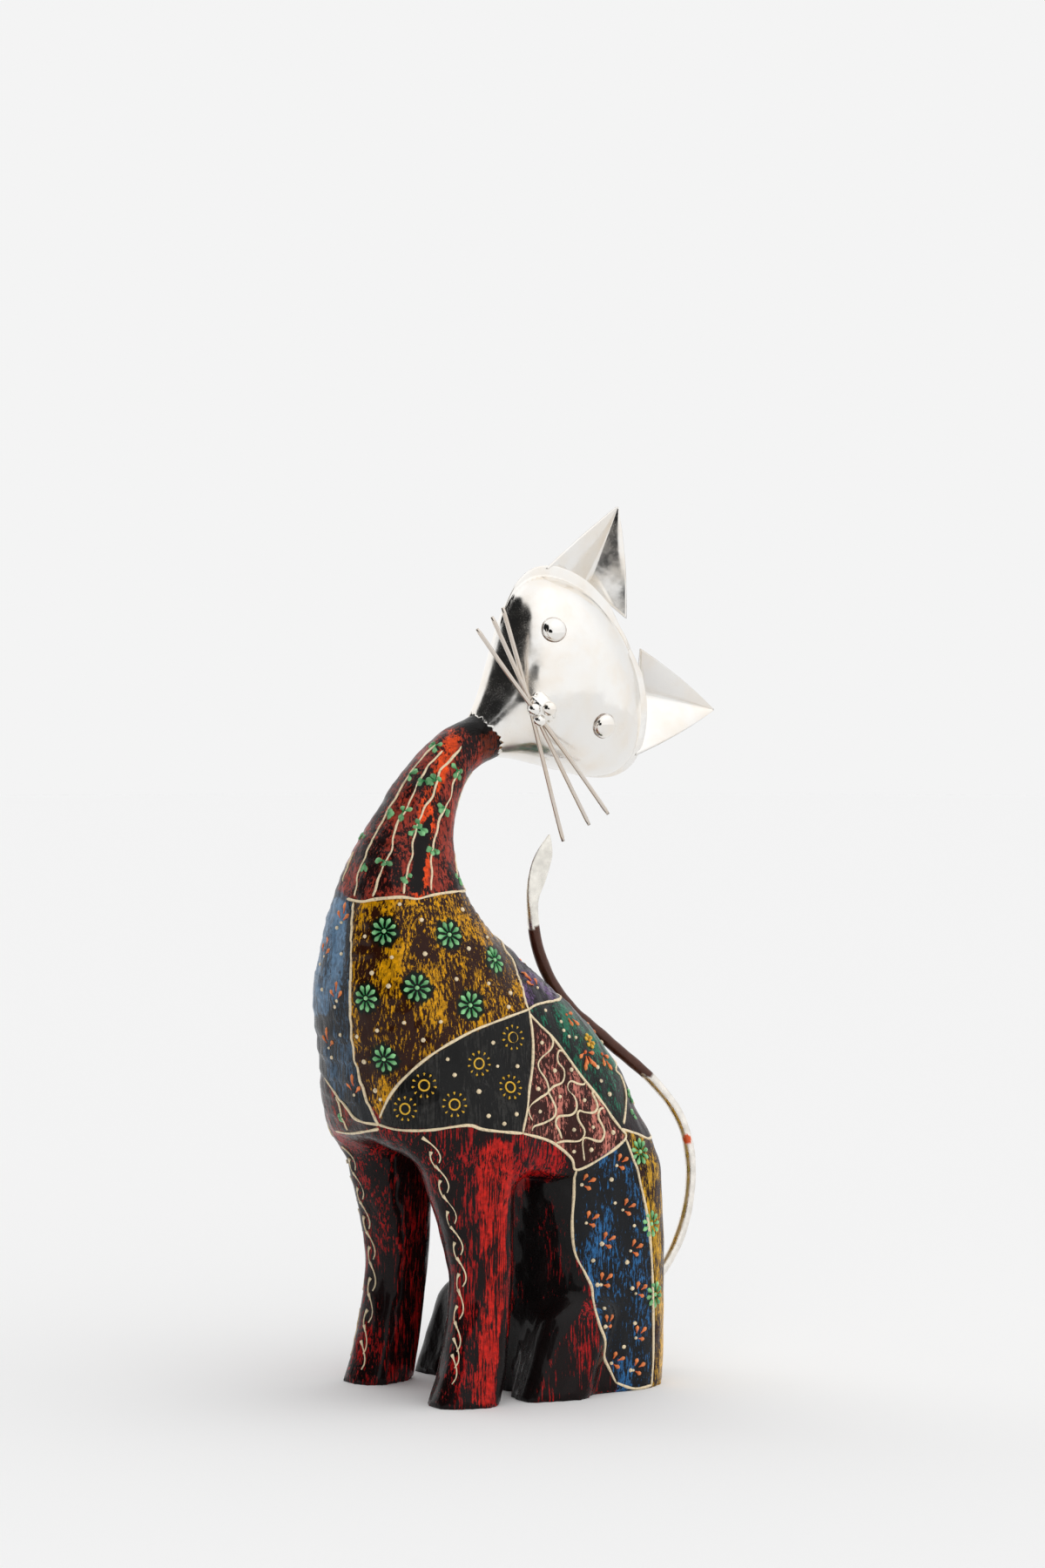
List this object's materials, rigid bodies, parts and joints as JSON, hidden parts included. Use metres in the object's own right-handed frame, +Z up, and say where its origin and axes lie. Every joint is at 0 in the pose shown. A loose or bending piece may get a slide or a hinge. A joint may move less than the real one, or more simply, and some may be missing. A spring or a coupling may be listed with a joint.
{
  "type": "cat figurine",
  "caption": "Sitting cat figurine: a painted wood body with a raised neck, and a turned head, folded ears, wire whiskers and slim curved tail in bright metal.",
  "frame": {"origin": "on the ground, under the middle of the box that holds the whole figure", "axes": "+Z up; the cat sits facing -Y, its left side is +X, and its head looks to +X"},
  "size_m": [0.0916, 0.1652, 0.3222],
  "materials": {
    "painted_wood": "lacquered, with painted fields and raised line work",
    "bright_metal": "polished",
    "tail_metal": "polished, browned in the middle"
  },
  "bodies": {
    "root": {"body": "painted_wood", "tail": "tail_metal", "head": "bright_metal", "ear_left": "bright_metal", "ear_right": "bright_metal", "eye_left": "bright_metal", "eye_right": "bright_metal", "muzzle": "bright_metal", "whisker_upper": "bright_metal", "whisker_middle": "bright_metal", "whisker_lower": "bright_metal"}
  },
  "joints": []
}
